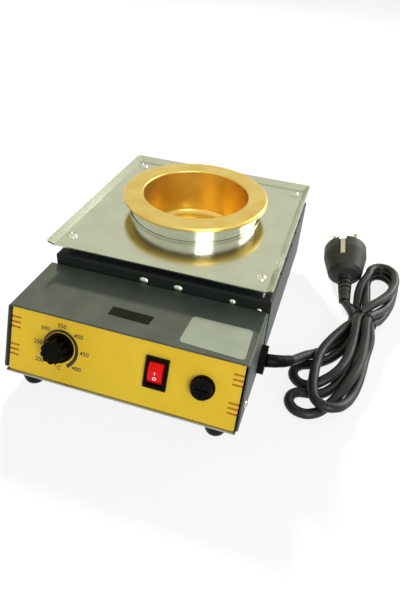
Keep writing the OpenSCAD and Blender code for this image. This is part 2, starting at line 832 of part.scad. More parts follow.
module thermocouple() {
  tip = crucible_y - body_r - probe_tip_gap;
  root = crucible_y - shell_r - probe_out;
  color([0.75, 0.75, 0.78]) bench() {
    y_rod(probe_x, root, probe_z, probe_r, tip - root);
    y_rod(probe_x, root - probe_collar_l, probe_z, probe_collar_r, probe_collar_l);
  }
}

module side_screws() {
  color([0.85, 0.85, 0.85]) bench() for (s = [-1, 1]) translate([s * cover_w / 2, side_screw_y, side_screw_z])
    rotate([0, s * 90, 0]) pan_screw(screw3_r, sheet_screw_len, screw3_head_r, screw3_head_h, $fn = 32);
}

module rear_screws() {
  color([0.85, 0.85, 0.85]) bench() for (s = [-1, 1])
    translate([housing_shift + s * rear_screw_x, housing_y + housing_d, rear_screw_z])
      rotate([-90, 0, 0]) pan_screw(screw3_r, sheet_screw_len, screw3_head_r, screw3_head_h, $fn = 32);
}

module foot(i) {
  color([0.06, 0.06, 0.06]) bench() translate([foot_at(i)[0], foot_at(i)[1], 0]) difference() {
    union() {
      cylinder(d1 = foot_tip_d, d2 = foot_d, h = foot_h - 2, $fn = 48);
      translate([0, 0, foot_h - 2]) cylinder(d = foot_d, h = 2, $fn = 48);
    }
    translate([0, 0, -1]) cylinder(r = foot_bore_r, h = foot_bore_h + 1, $fn = 32);
    translate([0, 0, -1]) cylinder(r = screw4_hole_r, h = foot_h + 2, $fn = 32);
  }
}

module foot_front_left() { foot(0); }
module foot_front_right() { foot(1); }
module foot_rear_left() { foot(2); }
module foot_rear_right() { foot(3); }

module foot_screws() {
  color([0.8, 0.8, 0.8]) bench() foot_places() translate([0, 0, foot_bore_h - foot_h]) rotate([180, 0, 0])
    pan_screw(screw4_r, foot_screw_top - foot_bore_h, screw4_head_r, screw4_head_h, $fn = 32);
}

module foot_nuts() {
  color([0.7, 0.7, 0.7]) bench() foot_places() translate([0, 0, base_t]) nut(nut4_af, nut4_h, screw4_hole_r);
}

module at_knob() { bench() panel_frame() translate([knob_x, knob_s, 0]) children(); }

module knob() {
  grip_z = knob_lift + knob_skirt_h;
  color([0.05, 0.05, 0.05]) at_knob() difference() {
    union() {
      translate([0, 0, knob_lift])
        cylinder(d1 = knob_skirt_d, d2 = knob_skirt_d - 1, h = knob_skirt_h, $fn = 64);
      translate([0, 0, grip_z])
        cylinder(d1 = knob_grip_d + knob_taper, d2 = knob_grip_d, h = knob_h - grip_z, $fn = 64);
    }
    for (i = [0 : knob_flutes - 1]) rotate(-90 + (i + 0.5) * 360 / knob_flutes)
      translate([knob_grip_d / 2 + flute_out, 0, grip_z + 1]) cylinder(r = flute_r, h = knob_h, $fn = 24);
    translate([0, 0, -1]) cylinder(r = knob_cavity_r, h = knob_cavity_h + knob_lift + 1, $fn = 48);
    cylinder(r = pot_shaft_r, h = knob_h - knob_cap, $fn = 48);
  }
}

module pot_shaft() {
  color([0.75, 0.75, 0.72]) at_knob() translate([0, 0, -pot_shaft_in])
    cylinder(r = pot_shaft_r, h = knob_h - knob_cap + pot_shaft_in, $fn = 48);
}

module pot_body() {
  color([0.5, 0.5, 0.48]) at_knob() difference() {
    union() {
      translate([0, 0, -sheet_t - pot_depth]) cylinder(r = pot_r, h = pot_depth, $fn = 48);
      translate([0, 0, -sheet_t - 1]) cylinder(r = bush_r, h = bush_h + sheet_t + 1, $fn = 48);
      translate([-pot_lug[0] / 2, -pot_lug_y, -sheet_t - pot_depth + 2]) cube(pot_lug);
    }
    translate([0, 0, -pot_shaft_in - 0.5]) cylinder(r = pot_shaft_r + running_gap, h = far, $fn = 48);
  }
}

module pot_washer() {
  color([0.8, 0.8, 0.8]) at_knob() difference() {
    cylinder(r = washer_r, h = washer_t, $fn = 48);
    translate([0, 0, -1]) cylinder(r = bush_r + fit, h = 3, $fn = 48);
  }
}

module pot_nut() {
  color([0.75, 0.75, 0.7]) at_knob() translate([0, 0, washer_t]) nut(pot_nut_af, pot_nut_h, bush_r + fit);
}

module at_switch() { bench() panel_frame() translate([switch_x, switch_s, 0]) children(); }
module block(w, h, z0, z1) { translate([-w / 2, -h / 2, z0]) cube([w, h, z1 - z0]); }

module switch_body() {
  color([0.05, 0.05, 0.05]) at_switch() difference() {
    union() {
      block(bezel_w, bezel_h, 0, bezel_t);
      block(switch_hole_w - 2 * fit, switch_hole_h - 2 * fit, -switch_depth, 0);
    }
    block(rocker_open_w, rocker_open_h, bezel_t - rocker_open_d, far);
    x_rod(-rocker_open_w / 2 - pin_reach, 0, 0, pin_r + running_gap, rocker_open_w + 2 * pin_reach);
  }
}

module switch_rocker() {
  color([0.8, 0.08, 0.06]) at_switch() rotate([rocker_tilt, 0, 0]) {
    along_x(-rocker_w / 2, rocker_w) polygon([[-7.7, 0.6], [-7.2, 1.4], [-3.9, 3.9], [3.9, 3.9], [7.2, 1.4],
      [7.7, 0.6], [7, -2.5], [3, -5.5], [-3, -5.5], [-7, -2.5]]);
    x_rod(-rocker_w / 2 - pin_reach, 0, 0, pin_r, rocker_w + 2 * pin_reach);
  }
}

module switch_terminals() {
  color([0.8, 0.7, 0.4]) at_switch() for (y = [-6, 0, 6])
    translate([-blade_w / 2, y - blade_t / 2, -switch_depth - blade_l]) cube([blade_w, blade_t, blade_l]);
}

module at_fuse() { bench() panel_frame() translate([fuse_x, fuse_s, 0]) children(); }

module fuse_body() {
  color([0.06, 0.06, 0.06]) at_fuse() difference() {
    union() {
      cylinder(d = fuse_flange_d, h = fuse_flange_h, $fn = 64);
      translate([0, 0, -fuse_depth]) cylinder(r = fuse_barrel_r, h = fuse_depth, $fn = 64);
    }
    translate([0, 0, fuse_flange_h - fuse_stem_l - fuse_link_l])
      cylinder(r = fuse_stem_r + running_gap, h = far, $fn = 48);
  }
}

module fuse_nut() {
  color([0.1, 0.1, 0.1]) at_fuse() translate([0, 0, -sheet_t - fuse_nut_h])
    nut(fuse_nut_af, fuse_nut_h, fuse_barrel_r + fit);
}

module fuse_cap() {
  color([0.07, 0.07, 0.07]) at_fuse() translate([0, 0, fuse_flange_h]) {
    difference() {
      cylinder(d1 = fuse_cap_d, d2 = fuse_cap_d - 0.8, h = fuse_cap_h, $fn = 64);
      for (a = [0, 90]) rotate(a) translate([-slot_l / 2, -slot_w / 2, fuse_cap_h - slot_d])
        cube([slot_l, slot_w, slot_d + 1]);
    }
    translate([0, 0, -fuse_stem_l]) cylinder(r = fuse_stem_r, h = fuse_stem_l, $fn = 48);
  }
}

module fuse_glass() {
  top = fuse_flange_h - fuse_stem_l;
  color([0.85, 0.9, 0.9]) at_fuse() translate([0, 0, top - fuse_link_l + fuse_end_l])
    cylinder(r = fuse_link_r - 0.2, h = fuse_link_l - 2 * fuse_end_l, $fn = 32);
}

module fuse_ends() {
  top = fuse_flange_h - fuse_stem_l;
  color([0.85, 0.85, 0.8]) at_fuse() for (z = [top - fuse_link_l, top - fuse_end_l])
    translate([0, 0, z]) cylinder(r = fuse_link_r, h = fuse_end_l, $fn = 32);
}

module circuit_board() {
  color([0.1, 0.35, 0.2]) bench() difference() {
    translate([board_x, board_y, board_z]) cube([board_w, board_l, board_t]);
    board_post_places() translate([0, 0, board_z - 1]) cylinder(r = screw3_hole_r, h = 5);
  }
}

module board_posts() {
  color([0.85, 0.85, 0.8]) bench() board_post_places() translate([0, 0, body_z]) difference() {
    cylinder(r = post_r, h = post_h, $fn = 32);
    translate([0, 0, -1]) cylinder(r = screw3_r, h = post_h + 2, $fn = 32);
  }
}

module board_screws() {
  color([0.8, 0.8, 0.8]) bench() board_post_places() translate([0, 0, board_z + board_t])
    pan_screw(screw3_r - 0.05, board_screw_len, screw3_head_r, screw3_head_h, $fn = 32);
}

module heat_sink() {
  color([0.7, 0.7, 0.72]) bench() translate([sink_at[0], sink_at[1], board_z + board_t]) {
    cube([sink_size[0], sink_back, sink_size[2]]);
    for (i = [0 : sink_fins - 1]) translate([i * (sink_size[0] - sink_fin_t) / (sink_fins - 1), 0, 0])
      cube([sink_fin_t, sink_size[1], sink_size[2]]);
  }
}

module triac() {
  x = sink_at[0] + (sink_size[0] - triac_size[0]) / 2;
  color([0.08, 0.08, 0.08]) bench() translate([x, sink_at[1] - triac_size[1], board_z + board_t]) {
    translate([0, 0, triac_lift]) cube(triac_size);
    for (i = [-1 : 1]) translate([triac_size[0] / 2 + i * 2.5 - triac_lead[0] / 2, 2, 0])
      cube([triac_lead[0], triac_lead[1], triac_lift]);
  }
}

module capacitor() {
  color([0.85, 0.7, 0.2]) bench() translate([capacitor_at[0], capacitor_at[1], board_z + board_t])
    cube(capacitor_size);
}

module terminal_block() {
  top = body_z + block_size[2];
  color([0.85, 0.85, 0.82]) bench() difference() {
    translate([block_at[0], block_at[1], body_z]) cube(block_size);
    for (i = [0 : block_poles - 1])
      translate([block_at[0] + 5 + i * block_pitch, block_at[1] + block_size[1] / 2, top - block_hole_d])
        cylinder(r = block_hole_r, h = block_hole_d + 1, $fn = 24);
  }
}

module strain_relief() {
  w = cover_w / 2;
  neck_len = sheet_t + relief_in;
  neck_w = relief_neck_w - 2 * fit;
  neck_h = relief_neck_h - 2 * fit;
  color([0.05, 0.05, 0.05]) bench() {
    difference() {
      translate([w, relief_y - relief_w / 2, relief_z - relief_h / 2]) cube([relief_out, relief_w, relief_h]);
      translate([w + relief_out - 1, relief_y - relief_w, relief_z - relief_seam / 2])
        cube([2, 2 * relief_w, relief_seam]);
    }
    translate([w - neck_len, relief_y - neck_w / 2, relief_z - neck_h / 2]) cube([neck_len, neck_w, neck_h]);
  }
}

module power_cord() {
  color([0.12, 0.13, 0.13]) bench() {
    sweep(route(lead_route, 2), cord_d / 2, 10);
    sweep(route(tail_route, 1), cord_d / 2, 10);
  }
}

module cord_hank() {
  outline = concat(arc(hank_front, hank_front_r, 160, 370, 14), reversed(hank_right),
    arc(hank_back, hank_back_r, -10, 190, 12), reversed(hank_left));
  color([0.12, 0.13, 0.13]) bench() translate([0, 0, hank_z]) linear_extrude(hank_h) polygon(outline);
}

module cord_tie() {
  color([0.05, 0.05, 0.05]) bench() translate([tie_at[0], tie_at[1], 0]) rotate(tie_turn) difference() {
    translate([-tie_span / 2, -tie_w / 2, 0]) cube([tie_span, tie_w, hank_h + 2 * tie_t]);
    translate([-tie_span / 2 + tie_t, -tie_w, tie_t]) cube([tie_span - 2 * tie_t, 2 * tie_w, hank_h]);
  }
}

module at_plug() {
  bench() translate(plug_at) rotate([plug_tilt - 90, 0, plug_turn]) rotate([0, 0, plug_roll]) children();
}

module plug_body() {
  r = plug_d / 2;
  color([0.06, 0.06, 0.06]) at_plug() difference() {
    rotate_extrude($fn = 64) polygon([[0, 0], [r - 1, 0], [r, -1], [r, -plug_rim_l],
      [plug_shoulder_r + 1, -plug_body_l + 3], [plug_shoulder_r - 2, -plug_body_l],
      [neck_r, -plug_body_l - 2], [neck_end_r, -neck_l], [0, -neck_l]]);
    for (s = [-1, 1]) translate([-clip_slot_w / 2, s * (r - 1) - 3, -clip_slot_l])
      cube([clip_slot_w, 6, clip_slot_l + 1]);
    for (s = [-1, 1]) translate([s * pin_pitch / 2, 0, -pin_root])
      cylinder(d = pin_dia, h = pin_root + 1, $fn = 32);
    translate([0, pin_pitch / 2, -earth_hole_l]) cylinder(d = earth_hole_d, h = earth_hole_l + 1, $fn = 32);
    for (i = [0 : neck_grooves - 1]) translate([0, 0, -plug_body_l - 8 - i * neck_groove_pitch])
      rotate_extrude($fn = 48) translate([neck_r - neck_groove_d, 0]) square([3, neck_groove_w]);
  }
}

module plug_pins() {
  color([0.85, 0.83, 0.75]) at_plug() for (s = [-1, 1]) translate([s * pin_pitch / 2, 0, -pin_root]) {
    cylinder(d = pin_dia, h = pin_len + pin_root - 1, $fn = 32);
    translate([0, 0, pin_len + pin_root - 1]) cylinder(d1 = pin_dia, d2 = pin_dia - 1.6, h = 1, $fn = 32);
  }
}

module plug_earth_clips() {
  r = plug_d / 2;
  color([0.8, 0.78, 0.7]) at_plug() for (s = [-1, 1])
    translate([-clip[0] / 2, s * (r - 3.6) - clip[1] / 2, 1 - clip_slot_l]) cube(clip);
}

base_pan();
front_cover();
front_panel();
rear_housing();
drip_tray();
tray_spacers();
tray_screws();
tray_nuts();
corner_stud();
crucible();
heater_shell();
band_heater();
insulation_ring();
insulation_disc();
shell_floor();
heater_bracket();
bracket_bolts();
bracket_nuts();
shell_stay();
wall_bolts();
wall_nuts();
earth_screw();
wall_screw();
heater_terminal();
thermocouple();
side_screws();
rear_screws();
foot_front_left();
foot_front_right();
foot_rear_left();
foot_rear_right();
foot_screws();
foot_nuts();
knob();
pot_body();
pot_shaft();
pot_nut();
pot_washer();
switch_body();
switch_rocker();
switch_terminals();
fuse_body();
fuse_nut();
fuse_cap();
fuse_glass();
fuse_ends();
circuit_board();
board_posts();
board_screws();
triac();
heat_sink();
capacitor();
terminal_block();
strain_relief();
power_cord();
cord_hank();
cord_tie();
plug_body();
plug_pins();
plug_earth_clips();
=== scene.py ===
from math import cos, pi, radians, sin

import bmesh
import bpy
from mathutils import Matrix, Vector


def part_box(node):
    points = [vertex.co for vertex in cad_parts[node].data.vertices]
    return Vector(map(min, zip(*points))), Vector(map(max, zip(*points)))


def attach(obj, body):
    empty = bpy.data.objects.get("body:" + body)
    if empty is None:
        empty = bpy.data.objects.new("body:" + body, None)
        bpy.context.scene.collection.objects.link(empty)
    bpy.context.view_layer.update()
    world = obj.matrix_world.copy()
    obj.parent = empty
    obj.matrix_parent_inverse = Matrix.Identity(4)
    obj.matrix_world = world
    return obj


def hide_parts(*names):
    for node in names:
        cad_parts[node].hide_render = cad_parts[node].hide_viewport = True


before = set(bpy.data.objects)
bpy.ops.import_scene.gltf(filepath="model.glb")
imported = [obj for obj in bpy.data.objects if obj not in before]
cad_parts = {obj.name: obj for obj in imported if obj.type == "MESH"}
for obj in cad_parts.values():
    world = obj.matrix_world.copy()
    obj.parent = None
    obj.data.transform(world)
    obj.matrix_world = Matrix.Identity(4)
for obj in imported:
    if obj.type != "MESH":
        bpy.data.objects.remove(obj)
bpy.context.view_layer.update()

# Bench millimetres run right, back from the front bottom edge of the cover, and up from the floor
MM = 0.001
HOUSING_Y = 70.8
FRONT_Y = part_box("rear_housing")[0][1] / MM - HOUSING_Y
BODY_Z = 13.0           # lower edge of the cover
COVER_TOP = 56.0
SLOPE = radians(21.5)   # how far the panel leans back
PANEL_INSET = 1.5       # how far the panel's face lies inside the cover's edge


def at(x, y, z):
    """A point in bench millimetres, in the frame."""
    return Vector((x, y + FRONT_Y, z)) * MM


# On the panel: x, distance up the slope, height over the face
PANEL = Matrix(((1, 0, 0, 0),
                (0, sin(SLOPE), -cos(SLOPE), 0),
                (0, cos(SLOPE), sin(SLOPE), 0),
                (0, 0, 0, 1)))
PANEL.translation = at(0, PANEL_INSET * cos(SLOPE), BODY_Z - PANEL_INSET * sin(SLOPE))
COVER = Matrix.Translation(at(0, 0, COVER_TOP))


def linked(name, data):
    """A new object with this data, in the scene."""
    made = bpy.data.objects.new(name, data)
    bpy.context.scene.collection.objects.link(made)
    return made


# --- camera ---------------------------------------------------------------------------------

EYE_AT = (107.012, -208.697, 272.762)
EYE_YAW, EYE_TILT, EYE_ROLL = 14.987, 37.316, -4.118   # degrees
EYE_LENS, EYE_SENSOR = 32.076, 36


def camera():
    """The scene's own camera, high in front of the cover and a little to the right."""
    yaw, tilt, roll = radians(EYE_YAW), radians(EYE_TILT), radians(EYE_ROLL)
    ahead = Vector((-sin(yaw) * cos(tilt), cos(yaw) * cos(tilt), -sin(tilt)))
    right = Vector((cos(yaw), sin(yaw), 0))
    below = ahead.cross(right)
    x_axis = cos(roll) * right + sin(roll) * below
    y_axis = sin(roll) * right - cos(roll) * below
    place = Matrix((x_axis, y_axis, -ahead)).transposed().to_4x4()
    place.translation = at(*EYE_AT)
    lens = bpy.data.cameras.new("camera")
    lens.sensor_fit = "VERTICAL"
    lens.sensor_height = EYE_SENSOR
    lens.lens = EYE_LENS
    eye = linked("camera", lens)
    eye.matrix_world = place
    bpy.context.scene.camera = eye


# --- materials ------------------------------------------------------------------------------

def srgb(code):
    """Linear colour of a #rrggbb code."""
    parts = [int(code[i:i + 2], 16) / 255 for i in (1, 3, 5)]
    return [p / 12.92 if p <= 0.04045 else ((p + 0.055) / 1.055) ** 2.4 for p in parts] + [1]


def add(tree, kind, inputs=None, **settings):
    """Adds a node, sets its properties, and sets or links its inputs."""
    node = tree.nodes.new(kind)
    for key, value in settings.items():
        setattr(node, key, value)
    for key, value in (inputs or {}).items():
        if isinstance(value, bpy.types.NodeSocket):
            tree.links.new(value, node.inputs[key])
        else:
            node.inputs[key].default_value = value
    return node


def grain(tree, size, stretch=(1, 1, 1), detail=3, place=None):
    """Noise whose grains are about size millimetres, drawn out by stretch."""
    place = place or add(tree, "ShaderNodeTexCoord").outputs["Object"]
    mapped = add(tree, "ShaderNodeMapping", {"Vector": place, "Scale": [1 / s for s in stretch]})
    return add(tree, "ShaderNodeTexNoise",
               {"Vector": mapped.outputs[0], "Scale": 1 / (size * MM), "Detail": detail}).outputs["Fac"]


def around(tree, centre, turns, rings):
    """Polar coordinates about a vertical axis, for marks that run outwards from it."""
    place = add(tree, "ShaderNodeTexCoord").outputs["Object"]
    local = add(tree, "ShaderNodeVectorMath", {0: place, 1: centre}, operation="SUBTRACT").outputs[0]
    split = add(tree, "ShaderNodeSeparateXYZ", {0: local})
    angle = add(tree, "ShaderNodeMath", {0: split.outputs[1], 1: split.outputs[0]}, operation="ARCTAN2")
    flat = add(tree, "ShaderNodeVectorMath", {0: local, 1: (1, 1, 0)}, operation="MULTIPLY").outputs[0]
    reach = add(tree, "ShaderNodeVectorMath", {0: flat}, operation="LENGTH").outputs["Value"]
    angle = add(tree, "ShaderNodeMath", {0: angle.outputs[0], 1: turns}, operation="MULTIPLY")
    reach = add(tree, "ShaderNodeMath", {0: reach, 1: rings}, operation="MULTIPLY")
    return add(tree, "ShaderNodeCombineXYZ",
               {0: angle.outputs[0], 1: reach.outputs[0], 2: split.outputs[2]}).outputs[0]


def material(name, colours, rough, size, metallic=0.0, ior=1.5, bump=0.0, stretch=(1, 1, 1),
             polar=None, wide=18, shader=None):
    """Two colours mixed by fine grain over broad cloudiness, with roughness and bump from the grain."""
    surface = bpy.data.materials.new(name)
    surface.use_nodes = True
    tree = surface.node_tree
    tree.nodes.clear()
    place = around(tree, *polar) if polar else None
    fine = grain(tree, size, stretch, place=place)
    broad = grain(tree, wide, detail=1)
    mixed = add(tree, "ShaderNodeMath", {0: fine, 1: broad}, operation="ADD")
    half = add(tree, "ShaderNodeMapRange", {"Value": mixed.outputs[0], "From Min": 0.7, "From Max": 1.3})
    tone = add(tree, "ShaderNodeMix", {"Factor": half.outputs[0]}, data_type="RGBA")
    tone.inputs[6].default_value = srgb(colours[0])
    tone.inputs[7].default_value = srgb(colours[1])
    gloss = add(tree, "ShaderNodeMapRange", {"Value": fine, "From Min": 0.3, "From Max": 0.7,
                                             "To Min": rough[0], "To Max": rough[1]})
    body = add(tree, "ShaderNodeBsdfPrincipled", {"Base Color": tone.outputs[2], "Metallic": metallic,
                                                  "Roughness": gloss.outputs[0], "IOR": ior})
    for key, value in (shader or {}).items():
        body.inputs[key].default_value = value
    if bump:
        raised = add(tree, "ShaderNodeBump", {"Height": fine, "Distance": bump * MM, "Strength": 1.0})
        tree.links.new(raised.outputs[0], body.inputs["Normal"])
    add(tree, "ShaderNodeOutputMaterial", {"Surface": body.outputs[0]})
    return surface


POT_AT = Vector((0, (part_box("crucible")[0][1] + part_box("crucible")[1][1]) / 2, 0))
OUTWARDS = (POT_AT, 0.22, 0.05)   # marks that are fine round the pot and long towards its rim


def materials():
    """Each finish, with the CAD nodes that have it."""
    paint = {"Specular IOR Level": 0.3}
    dull = {"Specular IOR Level": 0.06}
    return {
        # Powder-coated steel: dark grey with a green cast, satin, even
        "grey_sheet": (material("grey_paint", ("#333a35", "#3f463f"), (0.4, 0.55), 0.5, bump=0.012,
                                shader=paint), ["front_cover"]),
        # The same coat in near black, a little smoother
        "dark_sheet": (material("dark_paint", ("#1d2220", "#232927"), (0.35, 0.41), 0.5, bump=0.01,
                                shader={"Specular IOR Level": 0.1}), ["rear_housing"]),
        # Yellow enamel on sheet steel: warm and even, with hardly any shine
        "yellow_sheet": (material("yellow_paint", ("#d2ae26", "#ddbc34"), (0.36, 0.5), 0.7, bump=0.012,
                                  wide=30, shader={"Specular IOR Level": 0.2}), ["front_panel"]),
        # Brushed stainless steel: fine lines across the tray blur what it mirrors
        "stainless": (material("brushed_stainless", ("#c2c3af", "#cccdba"), (0.15, 0.2), 0.35, 1.0,
                               bump=0.002, stretch=(40, 1, 1)), ["drip_tray"]),
        # Zinc-plated steel: dull grey with a crystal grain
        "zinc": (material("zinc_plate", ("#9ba09c", "#b4b8b2"), (0.3, 0.5), 1.2, 1.0, bump=0.003),
                 ["base_pan", "shell_stay", "heater_bracket", "shell_floor", "tray_nuts", "wall_nuts",
                  "foot_nuts", "bracket_nuts", "board_posts", "tray_spacers", "pot_nut", "pot_washer"]),
        # Nickel-plated screws: small, sharp highlights
        "screw_steel": (material("nickel_screw", ("#c9c8bd", "#e2e1d8"), (0.12, 0.25), 0.8, 1.0,
                                 bump=0.003),
                        ["tray_screws", "corner_stud", "bracket_bolts", "wall_bolts", "earth_screw",
                         "wall_screw", "side_screws", "rear_screws", "foot_screws", "board_screws",
                         "thermocouple", "pot_shaft", "fuse_ends"]),
        # Spun titanium with a gold oxide: satin, with faint marks that run outwards
        "gold_titanium": (material("gold_titanium", ("#e0bb5c", "#efd37e"), (0.26, 0.4), 0.5, 1.0,
                                   bump=0.003, polar=OUTWARDS), ["crucible"]),
        # Polished stainless sheet, rolled round: upright streaks of reflected light
        "polished_shell": (material("polished_shell", ("#d6d8d4", "#ecece8"), (0.12, 0.2), 0.6, 1.0,
                                    bump=0.0015, stretch=(1, 1, 0.2)), ["heater_shell"]),
        # Mica-faced band heater: brown, with a dull metal glint
        "mica_band": (material("mica_band", ("#7b6f5c", "#988b76"), (0.4, 0.6), 2.0, 0.4, bump=0.02),
                      ["band_heater"]),
        # Ceramic fibre: chalky white, fully dull, slightly woolly
        "insulation": (material("ceramic_fibre", ("#dedad0", "#f2efe6"), (0.85, 1.0), 0.6, bump=0.15),
                       ["insulation_ring", "insulation_disc"]),
        # Glazed steatite: cream with a soft gloss
        "ceramic_white": (material("white_ceramic", ("#e4dfd2", "#f3efe5"), (0.25, 0.4), 1.5,
                                   bump=0.006), ["heater_terminal"]),
        # Moulded rubber: deep black and dull
        "black_rubber": (material("black_rubber", ("#060706", "#0d0e0d"), (0.35, 0.5), 0.4, bump=0.012,
                                   shader=dull),
                         ["foot_front_left", "foot_front_right", "foot_rear_left", "foot_rear_right"]),
        # Moulded phenolic: black, with narrow highlights on its edges
        "black_gloss": (material("black_gloss", ("#020202", "#060605"), (0.14, 0.26), 1.0, bump=0.003,
                                 shader={"Specular IOR Level": 0.06}),
                        ["knob", "switch_body", "triac"]),
        # Moulded polyamide: black and satin
        "black_plastic": (material("black_plastic", ("#050505", "#0c0d0c"), (0.35, 0.5), 0.3,
                                   bump=0.008, shader=dull),
                          ["fuse_body", "fuse_nut", "fuse_cap", "strain_relief", "pot_body"]),
        # Dyed polycarbonate lens: saturated red that glows a little at its edges
        "red_plastic": (material("red_lens", ("#cc0406", "#e60a08"), (0.12, 0.22), 2.0, bump=0.002,
                                 shader={"Specular IOR Level": 0.15, "Subsurface Weight": 0.1,
                                         "Subsurface Scale": 0.002}),
                        ["switch_rocker"]),
        # Stamped brass: warm, slightly tarnished metal
        "brass_part": (material("brass", ("#b8943f", "#d0ad57"), (0.2, 0.35), 0.8, 1.0, bump=0.003),
                       ["switch_terminals"]),
        # Drawn glass tube: clear, with bright edges
        "clear_glass": (material("fuse_glass", ("#eef4f2", "#f8fbfa"), (0.02, 0.06), 3.0,
                                 shader={"Transmission Weight": 0.95}), ["fuse_glass"]),
        # Solder-masked circuit board: green with a wavy gloss
        "board_green": (material("board_green", ("#1c5a34", "#27693f"), (0.25, 0.4), 0.8, bump=0.01),
                        ["circuit_board"]),
        # Extruded aluminium: pale metal with lines along the fins
        "alu_sink": (material("aluminium", ("#a9acae", "#c2c5c6"), (0.3, 0.45), 0.5, 1.0, bump=0.004,
                              stretch=(1, 1, 20)), ["heat_sink"]),
        # Moulded film capacitor: yellow, slightly shiny box
        "capacitor_yellow": (material("capacitor_case", ("#c9a432", "#dcb845"), (0.3, 0.45), 0.8,
                                      bump=0.008), ["capacitor"]),
        # Moulded polyamide: off-white and satin
        "white_plastic": (material("white_plastic", ("#d9d8d0", "#e6e5de"), (0.35, 0.5), 0.8,
                                   bump=0.008), ["terminal_block"]),
        # Moulded PVC plug: charcoal and matt, with a spark-eroded grain
        "plug_black": (material("plug_rubber", ("#1c1e1a", "#292b25"), (0.45, 0.62), 0.35, bump=0.02,
                                 shader={"Specular IOR Level": 0.3}),
                       ["plug_body"]),
        # Nickel-plated brass: bright with a warm cast
        "pin_metal": (material("pin_nickel", ("#bdb295", "#ddd4ba"), (0.12, 0.24), 0.8, 1.0,
                               bump=0.002), ["plug_pins", "plug_earth_clips"]),
        # Extruded PVC sheath: charcoal, with a soft shine along its crown
        "cord_rubber": (material("cord_rubber", ("#131715", "#1d2320"), (0.34, 0.48), 0.4, bump=0.015,
                                  shader={"Specular IOR Level": 0.25}),
                        []),
    }


def dress(finishes):
    """Gives every CAD node its finish."""
    for surface, nodes in finishes.values():
        for name in nodes:
            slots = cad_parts[name].data.materials
            if len(slots) == 0:
                slots.append(surface)
            for i in range(len(slots)):
                slots[i] = surface


# --- pieces ---------------------------------------------------------------------------------

def piece(name, mesh, surface, body="body", place=None):
    """Links a mesh as a piece that rides on a body, with its place in the mesh."""
    if place:
        mesh.transform(place)
    made = linked(name, mesh)
    mesh.materials.clear()
    mesh.materials.append(surface)
    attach(made, body)
    return made


def closed_mesh(form, name, smooth=False):
    """The mesh of a closed form, with its faces turned outwards."""
    bmesh.ops.recalc_face_normals(form, faces=form.faces)
    mesh = bpy.data.meshes.new(name)
    form.to_mesh(mesh)
    form.free()
    if smooth:
        for face in mesh.polygons:
            face.use_smooth = True
    return mesh


def baked(maker):
    """The finished mesh of an object that only serves to make it, and is then removed."""
    graph = bpy.context.evaluated_depsgraph_get()
    mesh = bpy.data.meshes.new_from_object(maker.evaluated_get(graph))
    bpy.data.objects.remove(maker)
    return mesh


def slab(outline, low, high, bevel=0.0):
    """A flat plate between two heights, in millimetres, with an optional rounded upper edge."""
    form = bmesh.new()
    face = form.faces.new([form.verts.new(Vector((x, y, low)) * MM) for x, y in outline])
    face.normal_update()
    if face.normal.z < 0:
        face.normal_flip()
    grown = bmesh.ops.extrude_face_region(form, geom=[face])["geom"]
    tops = [v for v in grown if isinstance(v, bmesh.types.BMVert)]
    bmesh.ops.translate(form, vec=(0, 0, (high - low) * MM), verts=tops)
    if bevel:
        rim = [e for e in form.edges if all(v in tops for v in e.verts)]
        bmesh.ops.bevel(form, geom=rim, offset=bevel * MM, segments=2, affect="EDGES", profile=0.5)
    return closed_mesh(form, "slab")


def rounded(corners, radius, steps=5):
    """A polygon with its corners rounded."""
    points = []
    for i, corner in enumerate(corners):
        p = Vector(corner)
        before = (Vector(corners[i - 1]) - p).normalized()
        after = (Vector(corners[(i + 1) % len(corners)]) - p).normalized()
        for k in range(steps + 1):
            t = k / steps
            points.append(p + before * radius * (1 - t) ** 2 + after * radius * t ** 2)
    return points


def band(centre, inner, outer, start, end, low, high, steps=64):
    """A flat curved band whose inner and outer radii are functions of the way along it."""
    x0, y0 = centre
    turns = [(k / steps, radians(start + (end - start) * k / steps)) for k in range(steps + 1)]
    rim = [(x0 + outer(f) * cos(t), y0 + outer(f) * sin(t)) for f, t in turns]
    back = [(x0 + inner(f) * cos(t), y0 + inner(f) * sin(t)) for f, t in reversed(turns)]
    form = bmesh.new()
    layers = [[form.verts.new(Vector((x, y, z)) * MM) for x, y in rim + back] for z in (low, high)]
    last = len(rim + back) - 1
    for k in range(steps):
        for layer in layers:
            form.faces.new([layer[k], layer[k + 1], layer[last - k - 1], layer[last - k]])
    for k in range(last + 1):
        n = (k + 1) % (last + 1)
        form.faces.new([layers[0][k], layers[0][n], layers[1][n], layers[1][k]])
    return closed_mesh(form, "band")


CAP_SHARE = 0.69    # height of a figure, as a share of the type's size
INK_T = 0.03        # half the thickness of the printed film
INK_SPREAD = 0.03   # how far the film runs past the type's outline
INK_LIFT = 0.05     # height of the film's middle over the panel
TYPE_WIDTH = 1.06


def numeral(text, x, y, cap):
    """A printed number as a thin mesh, centred on x, y in millimetres."""
    curve = bpy.data.curves.new("numeral", "FONT")
    curve.body = text
    curve.size = cap * MM / CAP_SHARE
    curve.extrude = INK_T * MM
    curve.offset = INK_SPREAD * MM
    curve.align_x = "CENTER"
    curve.align_y = "CENTER"
    mesh = baked(linked("numeral", curve))
    place = Matrix.Translation(Vector((x, y, INK_LIFT)) * MM)
    mesh.transform(place @ Matrix.Diagonal((TYPE_WIDTH, 1, 1, 1)))
    return mesh


